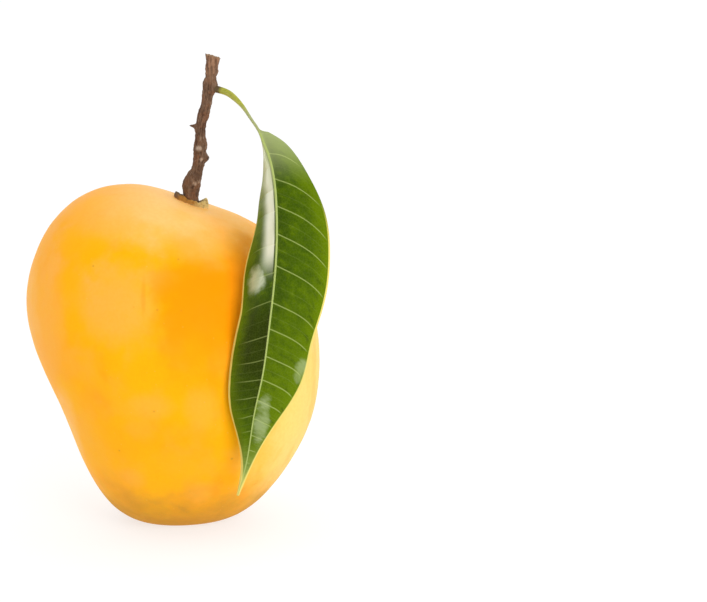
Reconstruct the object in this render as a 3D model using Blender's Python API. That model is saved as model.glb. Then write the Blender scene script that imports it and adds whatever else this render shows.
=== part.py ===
"""A ripe yellow mango as picked: the fruit, the piece of woody stem that it hung from, and one leaf.

The fruit stands on its blunt tip with the stem end up. X runs towards its low shoulder, Y from the
front cheek to the back one, and Z up from the spot that it rests on. Lengths are in millimetres
and are turned into metres where a mesh becomes an object.
"""

import math

import bmesh
import bpy
import numpy as np
from mathutils import Vector

MM = 0.001

# Colours, linear, with roughness
RIPE_SKIN = ((0.95, 0.42, 0.03), 0.45)
BARK = ((0.19, 0.10, 0.055), 0.85)
LEAF_GREEN = ((0.10, 0.17, 0.015), 0.4)

# Fruit: outline of the broad face as (x, z), from the stem end to the tip on each side
STEM_END = (4.0, 99.4)
TIP = (0.0, -1.3)
LOW_SHOULDER_SIDE = [
    (17.0, 95.4), (31.0, 86.2), (39.6, 71.0), (42.5, 53.0), (40.7, 34.5), (31.3, 15.5), (17.3, 2.1),
]
HIGH_SHOULDER_SIDE = [
    (-13.0, 104.5), (-28.5, 101.6), (-41.3, 88.5), (-46.4, 70.0), (-41.8, 50.5), (-34.2, 31.3), (-27.0, 12.6),
    (-17.9, 2.0),
]

# Fruit: outline of the narrow face as (y, z), the same in front and behind
CHEEK_SIDE = [
    (14.0, 98.2), (27.5, 91.5), (37.0, 77.5), (40.2, 59.5), (38.5, 41.5), (32.0, 24.0), (22.5, 10.0),
    (12.0, 1.4),
]

CORE_HEIGHT = 52.0
FRUIT_SEGMENTS = 64
FRUIT_RINGS = 40

# Slow swellings of the skin: height, waves round the fruit, waves from stem end to tip, and phase
SWELLINGS = [(0.45, 2, 3, 0.6), (0.30, 3, 4, 2.1), (0.22, 5, 3, 4.0)]

# Stem: centre line from its root in the fruit to the cut end, and half-width at each point
GAP = 0.32
ROOT_RADIUS = 1.95
ROOT_DEPTH = 2.6
SEAT_SIDES = 32
STEM_LINE = [
    (4.0, 0.0, 100.2), (4.2, 0.0, 102.8), (4.8, -0.2, 105.8), (6.5, -0.6, 110.6), (7.1, -0.8, 115.4),
    (7.3, -0.9, 119.0), (7.9, -1.0, 124.4), (9.1, -0.8, 129.2), (10.0, -0.6, 133.7), (10.7, -0.3, 138.2),
    (11.3, 0.0, 143.6),
]
STEM_RADII = [2.0, 2.1, 2.3, 1.7, 1.95, 1.7, 1.6, 1.6, 1.75, 1.65, 2.25]
STEM_SIDES = 24
STEM_RINGS = 58
STEM_START = 0.11
STEM_STOP = 0.975
CUT_SLOPE = 0.3

# What stands out of the stem: height up it, direction round it in degrees, how far, half its height,
# and narrowness
STEM_KNOBS = [
    (105.4, 190.0, 0.7, 2.0, 3),
    (113.1, 10.0, 1.1, 1.1, 8),
    (115.6, 250.0, 0.5, 0.7, 2),
    (122.5, 182.0, 2.2, 0.7, 16),
    (133.8, -28.0, 0.75, 1.5, 6),
    (141.6, 60.0, 0.3, 1.5, 3),
]

# Low ridges that wind up the bark: height, ridges round the stem, and turn in radians a millimetre
BARK_RIDGES = [(0.10, 3, 0.5), (0.06, 5, -0.9)]

# Collar: a cushion on the skin round the stem, and on it the flower's five dried sepals, each with its
# direction in degrees, how far it reaches past the cushion and how high it stands over it
CUSHION_RADIUS = 4.2
SEPALS = [(4.0, 0.9, 1.7), (-68.0, 0.5, 0.3), (-128.0, 0.4, 0.4), (172.0, 1.2, 1.0), (95.0, 0.7, 0.8)]
SEPAL_NARROWNESS = 8

# Collar's section from the root up: share of its reach, height over the skin, share of the sepals' height
COLLAR_SECTION = [
    (0.0, GAP, 0.0), (0.25, GAP, 0.0), (0.97, GAP, 0.25), (1.0, GAP + 0.6, 0.7), (0.8, GAP + 1.1, 1.0),
    (0.35, GAP + 1.4, 0.35),
]

# Leaf stalk: centre line from the stem to the blade, and half-thickness at each point
STALK_LINE = [
    (12.7, -1.95, 133.8), (15.2, -4.8, 133.4), (18.1, -9.8, 132.2), (21.2, -15.4, 129.8),
    (24.0, -20.4, 126.5),
]
STALK_RADII = [1.05, 0.98, 0.9, 0.75, 0.6]
STALK_RINGS = 10

# Leaf blade: rib point, half-widths and droops in degrees to the left and right, from base to tip
BLADE = [
    (25.7, -23.4, 124.5, 0.6, 0.9, 60.0, 10.0),
    (27.3, -26.2, 121.4, 1.5, 4.2, 62.0, 12.0),
    (28.6, -28.4, 118.6, 4.4, 6.4, 62.0, 14.0),
    (30.6, -33.2, 111.3, 10.2, 10.3, 60.0, 14.0),
    (31.4, -37.2, 102.4, 11.5, 14.0, 58.0, 12.0),
    (31.4, -40.7, 92.2, 14.2, 15.4, 54.0, 10.0),
    (30.6, -43.2, 81.4, 13.6, 15.2, 48.0, 10.0),
    (29.8, -44.1, 74.5, 12.0, 14.2, 43.0, 12.0),
    (28.9, -44.6, 67.3, 11.9, 13.0, 38.0, 14.0),
    (27.2, -44.3, 56.1, 11.5, 11.4, 32.0, 18.0),
    (24.8, -42.4, 45.2, 8.8, 7.3, 28.0, 18.0),
    (22.6, -38.8, 31.6, 2.6, 2.3, 20.0, 15.0),
    (19.2, -33.6, 17.9, 0.4, 0.4, 0.0, 0.0),
]
LEAST_HALF_WIDTH = 0.4
BLADE_THICKNESS = 0.62
BLADE_RINGS = 46
ACROSS = [0.2, 0.4, 0.6, 0.8, 1.0]
STALK_FLATTENS = 0.05

# The rib stands out on both faces, each half bulges, and the margins wave: waves from base to tip, and phase
RIB_HALF_WIDTH = 0.55
RIB_RISE = 0.3
RIB_DEPTH = 0.75
HALF_BULGE = 0.9
FULL_HALF_WIDTH = 6.0
EDGE_WAVE = 0.8
LEFT_WAVES = (4.5, 0.0)
RIGHT_WAVES = (3.8, 2.0)


def clear_scene():
    for thing in list(bpy.data.objects):
        bpy.data.objects.remove(thing)


def finish(name, colour, roughness):
    """A plain coat in the colour of the real surface."""
    coat = bpy.data.materials.new(name)
    coat.use_nodes = True
    shader = coat.node_tree.nodes["Principled BSDF"]
    shader.inputs["Base Color"].default_value = (*colour, 1.0)
    shader.inputs["Roughness"].default_value = roughness
    shader.inputs["Metallic"].default_value = 0.0
    return coat


def add_object(name, shape):
    """The object that a bmesh in millimetres becomes, in metres and shaded smooth."""
    bmesh.ops.recalc_face_normals(shape, faces=shape.faces)
    bmesh.ops.scale(shape, vec=(MM, MM, MM), verts=shape.verts)
    mesh = bpy.data.meshes.new(name)
    shape.to_mesh(mesh)
    shape.free()
    mesh.shade_smooth()
    thing = bpy.data.objects.new(name, mesh)
    bpy.context.scene.collection.objects.link(thing)
    return thing


def spline(knots, values):
    """The natural cubic spline through values, which are numbers or points, at rising knots."""
    knots = np.asarray(knots, float)
    values = np.asarray(values, float)
    step = np.diff(knots)
    slope = (np.diff(values, axis=0).T / step).T
    last = len(knots) - 1
    system = np.eye(last + 1)
    bend = np.zeros_like(values)
    for i in range(1, last):
        system[i, i - 1 : i + 2] = step[i - 1], 2 * (step[i - 1] + step[i]), step[i]
        bend[i] = 6 * (slope[i] - slope[i - 1])
    bend = np.linalg.solve(system, bend)

    def at(t):
        i = min(max(int(np.searchsorted(knots, t)) - 1, 0), last - 1)
        before = (knots[i + 1] - t) / step[i]
        after = 1 - before
        curve = (before**3 - before) * bend[i] + (after**3 - after) * bend[i + 1]
        return before * values[i] + after * values[i + 1] + curve * step[i] ** 2 / 6

    return at


def heading(centre_line, at, reach):
    """The direction of a line at a place on it, from the points a little before and after."""
    return (Vector(centre_line(at + reach)) - Vector(centre_line(at - reach))).normalized()


def loft(rings):
    """One closed body through rings of equal count, capped at both ends.

    Each ring's second half mirrors its first across the body, and its quads are split the same way.
    """
    shape = bmesh.new()
    loops = [[shape.verts.new(point) for point in ring] for ring in rings]
    count = len(loops[0])
    for below, above in zip(loops, loops[1:]):
        for i in range(count):
            j = (i + 1) % count
            if i < count // 2:
                shape.faces.new((below[i], below[j], above[j]))
                shape.faces.new((below[i], above[j], above[i]))
            else:
                shape.faces.new((below[i], below[j], above[i]))
                shape.faces.new((below[j], above[j], above[i]))
    shape.faces.new(list(reversed(loops[0])))
    shape.faces.new(loops[-1])
    return shape


def lean(z):
    """How far the line from tip to stem end has moved along X at a height."""
    return TIP[0] + (STEM_END[0] - TIP[0]) * z / STEM_END[1]


def closed_outline(right, left):
    """Distance from the core to an outline, as a function of the angle from the stem end, left negative."""
    corners = [STEM_END, *right, TIP, *reversed(left)]
    upright = [(x - lean(z), z - CORE_HEIGHT) for x, z in corners]
    angles = [math.atan2(x, z) % math.tau for x, z in upright]
    radii = [math.hypot(x, z) for x, z in upright]
    angles[0] = 0.0
    turns = [angle + turn for turn in (-math.tau, 0.0, math.tau) for angle in angles]
    around = spline(turns, radii * 3)
    return lambda angle: float(around(angle % math.tau))


def leant(points):
    """Points of the narrow outline with the lean put in, for closed_outline to take out again."""
    return [(y + lean(z), z) for y, z in points]


broad_outline = closed_outline(LOW_SHOULDER_SIDE, HIGH_SHOULDER_SIDE)
narrow_outline = closed_outline(leant(CHEEK_SIDE), leant([(-y, z) for y, z in CHEEK_SIDE]))


def skin_point(polar, around, lift=0.0):
    """The point of the skin at an angle from the stem end and an angle round from +X, lifted off by lift."""
    right = broad_outline(polar)
    left = broad_outline(-polar)
    deep = narrow_outline(polar)
    mean = (right + left) / 2
    radius = lift + (mean + deep) / 2
    radius += (right - left) / 2 * math.cos(around) + (mean - deep) / 2 * math.cos(2 * around)
    for height, waves, belts, phase in SWELLINGS:
        swelling = math.sin(waves * around + phase) * math.cos(belts * polar + phase)
        radius += height * math.sin(polar) ** 2 * swelling
    z = CORE_HEIGHT + radius * math.cos(polar)
    x = radius * math.sin(polar) * math.cos(around) + lean(z)
    return Vector((x, radius * math.sin(polar) * math.sin(around), z))


def cut_flat(shape):
    """Takes off what is below the resting plane and closes the cut with one flat face."""
    everything = [*shape.verts, *shape.edges, *shape.faces]
    down = (0, 0, -1)
    cut = bmesh.ops.bisect_plane(shape, geom=everything, plane_co=(0, 0, 0), plane_no=down, clear_outer=True)
    rim = [edge for edge in cut["geom_cut"] if isinstance(edge, bmesh.types.BMEdge)]
    bmesh.ops.edgeloop_fill(shape, edges=rim)


def make_seat():
    """The cutter of the round seat that the stem's root stands in."""
    height = 4 * ROOT_DEPTH
    wide = ROOT_RADIUS + GAP
    shape = bmesh.new()
    bmesh.ops.create_cone(shape, cap_ends=True, segments=SEAT_SIDES, radius1=wide, radius2=wide, depth=height)
    foot = STEM_END[1] - ROOT_DEPTH
    bmesh.ops.translate(shape, vec=(STEM_END[0], 0, foot + height / 2), verts=shape.verts)
    cutter = add_object("stem_seat_cutter", shape)
    cutter.hide_render = True
    cutter.display_type = "WIRE"
    return cutter


def make_fruit():
    """The whole fruit as one solid, flat where it rests, with a seat for the stem's root."""
    shape = bmesh.new()
    bmesh.ops.create_uvsphere(shape, u_segments=FRUIT_SEGMENTS, v_segments=FRUIT_RINGS, radius=1.0)
    for corner in shape.verts:
        polar = math.acos(max(-1.0, min(1.0, corner.co.z)))
        corner.co = skin_point(polar, math.atan2(corner.co.y, corner.co.x))
    cut_flat(shape)
    fruit = add_object("fruit", shape)
    fruit.data.materials.append(finish("ripe_skin", *RIPE_SKIN))
    hollow = fruit.modifiers.new("stem_seat", "BOOLEAN")
    hollow.operation = "DIFFERENCE"
    hollow.solver = "EXACT"
    hollow.object = make_seat()


def round_angles():
    return [math.tau * i / STEM_SIDES for i in range(STEM_SIDES)]


def root_ring(z):
    x = STEM_END[0]
    return [Vector((x + ROOT_RADIUS * math.cos(a), ROOT_RADIUS * math.sin(a), z)) for a in round_angles()]


def sepals(around):
    """How far the dried sepals reach past the cushion, and how high they stand, in a direction."""
    reach, height = 0.0, 0.0
    for degrees, outward, upward in SEPALS:
        share = max(0.0, math.cos(around - math.radians(degrees))) ** SEPAL_NARROWNESS
        reach += outward * share
        height += upward * share
    return reach, height


def collar_ring(share, lift, sepal_share):
    """A ring of the collar: a share of its reach from the root, and a height over the skin."""
    ring = []
    for around in round_angles():
        past, height = sepals(around)
        reach = ROOT_RADIUS + (CUSHION_RADIUS + past - ROOT_RADIUS) * share
        polar = reach / (STEM_END[1] - CORE_HEIGHT)
        ring.append(skin_point(polar, around, lift + sepal_share * height))
    return ring


def knob_rise(height, around):
    """How far scars, the side bud and the leaf's bracket stand out of the stem at a place."""
    rise = 0.0
    for place, degrees, reach, half_height, narrowness in STEM_KNOBS:
        facing = max(0.0, math.cos(around - math.radians(degrees))) ** narrowness
        rise += reach * facing * math.exp(-(((height - place) / half_height) ** 2))
    return rise


def stem_ring(along, centre_line, half_width):
    """A ring across the stem, at a share of the way up it."""
    centre = Vector(centre_line(along))
    ahead = heading(centre_line, along, 0.01)
    side = (Vector((1, 0, 0)) - ahead * ahead.x).normalized()
    back = ahead.cross(side)
    ring = []
    for around in round_angles():
        radius = float(half_width(along)) + knob_rise(centre.z, around)
        for height, ridges, turn in BARK_RIDGES:
            radius += height * math.sin(ridges * around + turn * centre.z)
        ring.append(centre + radius * (side * math.cos(around) + back * math.sin(around)))
    return ring


def make_stem():
    """The woody stem with its root in the fruit, its collar on the skin, its scars and its slanting cut."""
    knots = np.linspace(0.0, 1.0, len(STEM_LINE))
    centre_line = spline(knots, STEM_LINE)
    half_width = spline(knots, STEM_RADII)
    steps = np.linspace(STEM_START, STEM_STOP, STEM_RINGS)
    rings = [root_ring(STEM_END[1] - ROOT_DEPTH + GAP)]
    rings += [collar_ring(*row) for row in COLLAR_SECTION]
    rings += [stem_ring(along, centre_line, half_width) for along in steps]
    end = stem_ring(1.0, centre_line, half_width)
    middle = Vector(STEM_LINE[-1])
    for point in end:
        point.z = middle.z - CUT_SLOPE * (point.x - middle.x)
    rings.append(end)
    add_object("stem", loft(rings)).data.materials.append(finish("bark", *BARK))


def half_section(width, droop, side, wave):
    """One half of the blade's middle surface, from beside the rib to the margin.

    Each point has its distance from the rib, its place (across, out) and the way that its face looks.
    """
    slope = math.radians(droop)
    full = min(1.0, width / FULL_HALF_WIDTH)
    near = min(RIB_HALF_WIDTH, width / 4)
    facing = Vector((side * math.sin(slope), math.cos(slope)))
    points = []
    for distance in [near, 2 * near, *[2 * near + (width - 2 * near) * share for share in ACROSS]]:
        share = distance / width
        out = full * (HALF_BULGE * math.sin(math.pi * share) + wave * share**2) - distance * math.sin(slope)
        place = Vector((side * distance * math.cos(slope), out))
        turned = min(1.0, distance / (2 * RIB_HALF_WIDTH))
        points.append((distance, place, Vector((0.0, 1.0)).lerp(facing, turned).normalized()))
    return points


def leaf_ring(centre, ahead, halves, stalk, blend):
    """A ring across the leaf: its upper face from left to right, then its lower face back again.

    The upper face looks to the front. blend goes from 0 on the round stalk to 1 on the flat blade.
    """
    front = Vector((0.0, -1.0, 0.0))
    normal = (front - ahead * front.dot(ahead)).normalized()
    across = normal.cross(ahead)
    left, right = halves
    section = [*reversed(left), (0.0, Vector((0.0, 0.0)), Vector((0.0, 1.0))), *right]
    upper, lower = [], []
    for i, (distance, place, facing) in enumerate(section):
        angle = math.pi * (1 - (i + 0.5) / len(section))
        rib = blend * math.exp(-((distance / RIB_HALF_WIDTH) ** 2))
        for face, sign, height in ((upper, 1, RIB_RISE), (lower, -1, RIB_DEPTH)):
            flat = place + facing * sign * (BLADE_THICKNESS / 2 + rib * height)
            rod = stalk * Vector((math.cos(angle), sign * math.sin(angle)))
            spot = rod.lerp(flat, blend)
            face.append(centre + across * spot.x + normal * spot.y)
    return upper + list(reversed(lower))


def make_leaf():
    """The leaf as one solid: stalk, rib and a blade that droops on both sides of the rib."""
    line = [*STALK_LINE, *[station[:3] for station in BLADE]]
    run = np.concatenate([[0.0], np.cumsum(np.linalg.norm(np.diff(line, axis=0), axis=1))])
    stalk_run, blade_run = run[: len(STALK_LINE)], run[len(STALK_LINE) :]
    centre_line = spline(run, line)
    stalk_radius = spline(stalk_run, STALK_RADII)
    form = spline(blade_run, [station[3:] for station in BLADE])
    rings = []
    stalk_steps = np.linspace(0.0, blade_run[0], STALK_RINGS, endpoint=False)
    for at in [*stalk_steps, *np.linspace(blade_run[0], blade_run[-1], BLADE_RINGS)]:
        along = max(0.0, (at - blade_run[0]) / (blade_run[-1] - blade_run[0]))
        left, right, left_droop, right_droop = form(max(at, blade_run[0]))
        halves = []
        for width, droop, side, (waves, phase) in (
            (left, left_droop, -1, LEFT_WAVES), (right, right_droop, 1, RIGHT_WAVES),
        ):
            wave = EDGE_WAVE * math.sin(math.tau * waves * along + phase)
            halves.append(half_section(max(width, LEAST_HALF_WIDTH), droop, side, wave))
        ahead = heading(centre_line, at, 0.2)
        stalk = float(stalk_radius(min(at, stalk_run[-1])))
        blend = min(1.0, along / STALK_FLATTENS)
        rings.append(leaf_ring(Vector(centre_line(at)), ahead, halves, stalk, blend))
    add_object("leaf", loft(rings)).data.materials.append(finish("leaf_green", *LEAF_GREEN))


def main():
    clear_scene()
    make_fruit()
    make_stem()
    make_leaf()


main()
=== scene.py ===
"""The looks of a ripe yellow mango: waxy mottled skin, woody stem with its dried collar, and leaf.

X runs towards the fruit's low shoulder, -Y out of its front cheek, and Z up from the spot that it rests
on. Shapes are worked out in millimetres and turned into metres where a mesh is made.
"""

import math

import bmesh
import bpy
import numpy as np
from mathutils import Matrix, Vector, noise


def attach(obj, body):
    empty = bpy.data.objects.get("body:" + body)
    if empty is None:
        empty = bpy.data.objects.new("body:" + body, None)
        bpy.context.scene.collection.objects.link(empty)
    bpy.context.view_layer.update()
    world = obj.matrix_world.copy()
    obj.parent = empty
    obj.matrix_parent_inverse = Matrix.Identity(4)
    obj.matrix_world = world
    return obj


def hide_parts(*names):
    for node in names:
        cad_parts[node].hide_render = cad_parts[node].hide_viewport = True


bl_info = {
    "name": "Mango",
    "version": (1, 0, 0),
    "blender": (4, 5, 0),
    "location": "3D View > Sidebar > Mango",
    "description": "Dresses the solids of a mango with its skin, bark and leaf",
    "category": "Object",
}

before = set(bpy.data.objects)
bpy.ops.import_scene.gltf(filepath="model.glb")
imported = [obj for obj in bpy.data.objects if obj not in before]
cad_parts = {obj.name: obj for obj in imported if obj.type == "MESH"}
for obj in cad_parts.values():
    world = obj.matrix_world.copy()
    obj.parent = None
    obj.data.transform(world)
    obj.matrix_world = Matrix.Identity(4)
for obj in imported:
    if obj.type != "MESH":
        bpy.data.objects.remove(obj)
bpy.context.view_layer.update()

MM = 0.001
BODY = "root"

# Fruit: outline of the broad face as (x, z), from the stem end to the tip on each side
STEM_END = (4.0, 99.4)
TIP = (0.0, -1.3)
LOW_SHOULDER_SIDE = [
    (17.0, 95.4), (31.0, 86.2), (39.6, 71.0), (42.5, 53.0), (40.7, 34.5), (31.3, 15.5), (17.3, 2.1),
]
HIGH_SHOULDER_SIDE = [
    (-13.0, 104.5), (-28.5, 101.6), (-41.3, 88.5), (-46.4, 70.0), (-41.8, 50.5), (-34.2, 31.3),
    (-27.0, 12.6), (-17.9, 2.0),
]

# Fruit: outline of the narrow face as (y, z), the same in front and behind
CHEEK_SIDE = [
    (14.0, 98.2), (27.5, 91.5), (37.0, 77.5), (40.2, 59.5), (38.5, 41.5), (32.0, 24.0), (22.5, 10.0),
    (12.0, 1.4),
]
CORE_HEIGHT = 52.0

# Fruit: slow swellings, each with its height, waves round the fruit, waves from end to end, and phase
SWELLINGS = [(0.45, 2, 3, 0.6), (0.30, 3, 4, 2.1), (0.22, 5, 3, 4.0)]

FRUIT_SIDES = 384
FRUIT_BELTS = 214
FLAT_BELTS = 8

# Unevenness of the skin: how high, how wide a lump is, and seed
SKIN_LUMPS = [(0.22, 15.0, 3.0), (0.07, 5.5, 11.0), (0.02, 1.8, 23.0)]

# Patches of the front cheek: middle as (x, z), half-width, half-height, colour and how much of it shows
SKIN_PATCHES = [
    (-25.0, 91.0, 8.0, 3.8, "golden", 0.9),
    (-4.0, 91.5, 9.0, 5.0, "golden", 0.9),
    (-28.0, 77.0, 4.2, 10.0, "golden", 0.9),
    (-15.0, 76.0, 9.0, 9.0, "peach", 0.8),
    (-37.0, 68.0, 5.0, 14.0, "peach", 0.6),
    (-19.0, 99.0, 12.0, 4.5, "peach", 0.6),
    # These two pale patches on the high shoulder's edge are painted rim light.
    (-44.0, 60.0, 3.6, 26.0, "pale", 0.3),
    (-33.0, 26.0, 3.6, 16.0, "pale", 0.45),
    (10.5, 93.0, 8.5, 5.0, "peach", 0.8),
    (-5.5, 46.0, 5.5, 3.6, "peach", 0.4),
    (9.5, 45.5, 4.2, 5.5, "peach", 0.35),
    (-2.0, 23.0, 11.0, 6.5, "golden", 0.8),
    (-12.5, 21.0, 3.4, 3.0, "peach", 0.35),
    (7.0, 16.0, 3.4, 3.6, "peach", 0.4),
    (-22.0, 45.0, 4.5, 5.0, "orange", 0.3),
    # The ochre patch and the blush patch below it, beside the leaf, are painted shadow of the leaf.
    (21.0, 90.0, 5.0, 4.0, "ochre", 0.35),
    (22.0, 76.0, 4.5, 13.0, "blush_and_leaf_shade", 0.6),
    (-6.8, 78.5, 0.6, 5.0, "blush_and_leaf_shade", 0.3),
]

# Where small dark freckles crowd on the front cheek: middle as (x, z), half-width and half-height
FRECKLES = (3.0, 78.0, 9.0, 3.0)

# Height over the floor within which the skin grows smooth
SMOOTH_FOOT = 4.0

# Pucker of the skin round the stem, how many folds it has, the share of its depth that they change, and the
# heights between which it sets in
PUCKER_DEPTH = 0.2
PUCKER_REACH = 6.5
PUCKER_FOLDS = 9
FOLD_SHARE = 0.35
PUCKER_SETS_IN = (80.0, 90.0)

# Stem: centre line from its root in the fruit to the cut end, and half-width at each point
STEM_LINE = [
    (4.0, 0.0, 100.2), (4.2, 0.0, 102.8), (4.8, -0.2, 105.8), (6.5, -0.6, 110.6), (7.1, -0.8, 115.4),
    (7.3, -0.9, 119.0), (7.9, -1.0, 124.4), (9.1, -0.8, 129.2), (10.0, -0.6, 133.7), (10.7, -0.3, 138.2),
    (11.3, 0.0, 143.6),
]
STEM_RADII = [2.3, 2.35, 2.35, 1.65, 1.9, 1.65, 1.5, 1.47, 1.65, 1.7, 2.25]
STEM_SIDES = 112
STEM_BELTS = 430

# Shares of the centre line at which the bark starts over the collar and ends below the cut
STEM_START = 0.045
STEM_STOP = 0.985
CUT_SLOPE = 0.3
CUT_BELTS = 14

# Unevenness of the torn rim and of the grain inside it: how high, how wide a lump is, and seed
TORN_LUMPS = [(0.4, 0.9, 3.0), (0.12, 0.3, 8.0)]
GRAIN_LUMPS = [(0.35, 0.45, 21.0), (0.22, 0.2, 25.0)]

# What stands out of the stem: height up it, direction round it in degrees, how far, half its height,
# and narrowness
STEM_KNOBS = [
    (105.4, 190.0, 0.7, 2.0, 3),
    (113.1, 10.0, 1.1, 1.1, 8),
    (115.6, 250.0, 0.5, 0.7, 2),
    (122.5, 182.0, 1.9, 0.48, 22),
    (133.8, -28.0, 0.75, 1.5, 6),
    (135.4, -22.0, 0.85, 1.5, 6),
    (141.6, 60.0, 0.3, 1.5, 3),
]

# Ridges that wind up the stem: how far they stand out, how many, and their turn in each millimetre of height
BARK_RIDGES = [(0.10, 3, 0.5), (0.06, 5, -0.9)]

# Fibres, in shares of the fibre relief, and slow lumps of the bark: how high, how wide and long, and seed
FIBRE_LUMPS = [(2.0, (0.42, 0.42, 5.0), 2.0), (1.0, (0.2, 0.2, 2.2), 7.0)]
BARK_LUMPS = [(0.34, 2.6, 4.0), (0.16, 0.8, 14.0)]

# Cracks along the bark and across it: share of the crack depth, how wide and long the bark between them is,
# seed, and how wide they are as a share of the noise
BARK_CRACKS = [(1.0, (0.75, 0.75, 4.5), 31.0, 0.055), (0.6, (1.6, 1.6, 1.1), 47.0, 0.045)]

# Scars that ring the stem where scales fell: height, depth and half-height
RING_SCARS = [
    (108.6, 0.04, 0.6), (115.4, 0.05, 0.5), (120.4, 0.04, 0.5), (128.3, 0.03, 0.6), (137.4, 0.05, 0.6),
]

# Pores of the bark: how many, and the least and most of each one's half-width, half-height, rise and
# place up the stem
BARK_PORES = 90
PORE_HALF_WIDTH = (0.16, 0.34)
PORE_HALF_HEIGHT = (0.2, 0.6)
PORE_RISE = (0.06, 0.16)
PORE_HEIGHTS = (104.0, 142.0)

# Healed scars on the front of the stem, and the dark tips of its side bud and spur: middle in metres,
# radius in millimetres and colour
STEM_MARKS = [
    ((0.0069, -0.0025, 0.1162), 0.9, "scar"),
    ((0.0077, -0.0024, 0.1128), 0.6, "scar"),
    ((0.0055, -0.0026, 0.1055), 0.7, "scar"),
    ((0.0098, -0.0009, 0.1130), 0.8, "crevice"),
    ((0.0042, -0.0009, 0.1226), 0.7, "crevice"),
]

# Collar: a cushion on the skin round the stem, and on it the flower's five dried sepals, each with its
# direction in degrees, how far it reaches past the cushion and how high it stands over it
ROOT_RADIUS = 1.95
CUSHION_RADIUS = 4.1
CUSHION_SHORTFALL = 1.8
SEPALS = [(2.0, 1.4, 2.0), (-68.0, 0.1, 0.8), (-128.0, 0.2, 0.9), (172.0, 1.0, 0.9), (95.0, 0.7, 0.6)]
SEPAL_NARROWNESS = 8

# Collar's section from inside the fruit up: share of its reach, height over the skin, share of the sepals'
COLLAR_SECTION = [
    (0.85, -1.3, 0.0), (1.0, -0.65, 0.0), (0.99, -0.3, 0.1), (0.94, 0.05, 0.5), (0.82, 0.5, 1.0),
    (0.62, 0.75, 0.9), (0.38, 0.75, 0.3), (0.16, 0.8, 0.05),
]
COLLAR_BELTS = 34
NECK_BELTS = 10

# Crumpled edge of the collar: how far, how many waves round it, and phase
COLLAR_CRUMPLE = [(0.10, 7, 1.0), (0.07, 17, 2.0)]

# Unevenness of the collar: how high, how wide a lump is, and seed
COLLAR_LUMPS = [(0.30, 1.1, 5.0), (0.18, 0.5, 9.0)]

# Leaf stalk: centre line from the stem to the blade, and half-thickness at each point
STALK_LINE = [
    (12.7, -1.95, 133.8), (15.2, -4.8, 133.4), (18.1, -9.8, 132.2), (21.2, -15.4, 129.8),
    (24.0, -20.4, 126.5),
]
STALK_RADII = [1.05, 0.98, 0.85, 0.56, 0.42]
STALK_SINK = 0.8
STALK_BELTS = 60

# Leaf blade: rib point, half-widths and droops in degrees to the left and right, from base to tip
BLADE = [
    (25.7, -23.4, 124.5, 0.6, 0.6, 60.0, 10.0),
    (27.3, -26.2, 121.4, 1.5, 4.0, 62.0, 12.0),
    (28.6, -28.4, 118.6, 4.4, 6.3, 62.0, 14.0),
    (30.6, -33.2, 111.3, 10.2, 10.3, 60.0, 14.0),
    (31.4, -37.2, 102.4, 11.5, 14.0, 58.0, 12.0),
    (31.4, -40.7, 92.2, 14.2, 15.4, 54.0, 10.0),
    (30.6, -43.2, 81.4, 13.6, 15.2, 48.0, 10.0),
    (29.8, -44.1, 74.5, 12.0, 14.2, 43.0, 12.0),
    (28.9, -44.6, 67.3, 11.9, 13.0, 38.0, 14.0),
    (27.2, -44.3, 56.1, 11.5, 12.2, 32.0, 18.0),
    (24.8, -42.4, 45.2, 8.8, 8.4, 28.0, 18.0),
    (22.6, -38.8, 31.6, 2.6, 2.7, 20.0, 15.0),
    (19.2, -33.6, 17.9, 0.4, 0.4, 0.0, 0.0),
]
LEAST_HALF_WIDTH = 0.4

# Unevenness of the blade: how high, how wide a lump is, and seed, and how far from the rib it is in full
BLADE_LUMPS = [(0.6, 16.0, 6.0), (0.2, 5.5, 9.0)]
LUMPS_FROM_RIB = 4.0
BLADE_THICKNESS = 0.46
BLADE_BELTS = 370
HALF_COLUMNS = 46

# The power by which the columns of points crowd towards the rib
COLUMN_CROWDING = 1.15

# Share of the blade's length in which the stalk flattens into it
STALK_FLATTENS = 0.02
RIB_HALF_WIDTH = 0.55
RIB_RISE = 0.3
RIB_DEPTH = 0.75

# How far each half bulges, and the half-width from which the blade bulges and waves in full
LEFT_BULGE = 1.35
RIGHT_BULGE = 0.9
FULL_HALF_WIDTH = 6.0

# Waves of each margin: height, and for each side how many from base to tip and their phase
EDGE_WAVE = 0.8
LEFT_WAVES = (4.5, 0.0)
RIGHT_WAVES = (3.8, 2.0)

# The blade thins by this share within this distance of its margin
MARGIN_THINNING = 0.6
MARGIN_TAPER = 0.8

# Where the side veins leave the rib, in millimetres from the blade's base
LEFT_VEINS = [
    -2, 5.5, 13, 20, 26.5, 36, 44, 52, 62, 69, 75, 80.5, 86.5, 91.5, 96.5, 101, 105, 109, 113, 118,
]
RIGHT_VEINS = [
    -5, 2, 9, 17, 25, 33, 42, 52.5, 60, 68, 75, 81.5, 87.5, 93, 98, 102.5, 106.5, 110, 113.5, 118,
]

# How far a vein has run towards the tip for each millimetre out from the rib: near the base, more than
# that further down, and by its arch at the margin
LEFT_LEAN = (0.02, 0.42, 0.12)
RIGHT_LEAN = (0.46, -0.16, 0.24)
LEAN_GROWS = (28.0, 60.0)

# Swelling between the veins, groove of a vein above and its ridge below, and half its width
QUILTING = 0.14
VEIN_GROOVE = 0.07
VEIN_RIDGE = 0.14
VEIN_REACH = 0.4

# Where the side veins begin and where they show in full: away from the rib, away from the margin, and by the
# blade's half-width
VEINS_FROM_RIB = (0.3, 1.6)
VEINS_FROM_MARGIN = (0.2, 1.6)
VEINS_BY_WIDTH = (2.0, 6.0)

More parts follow.
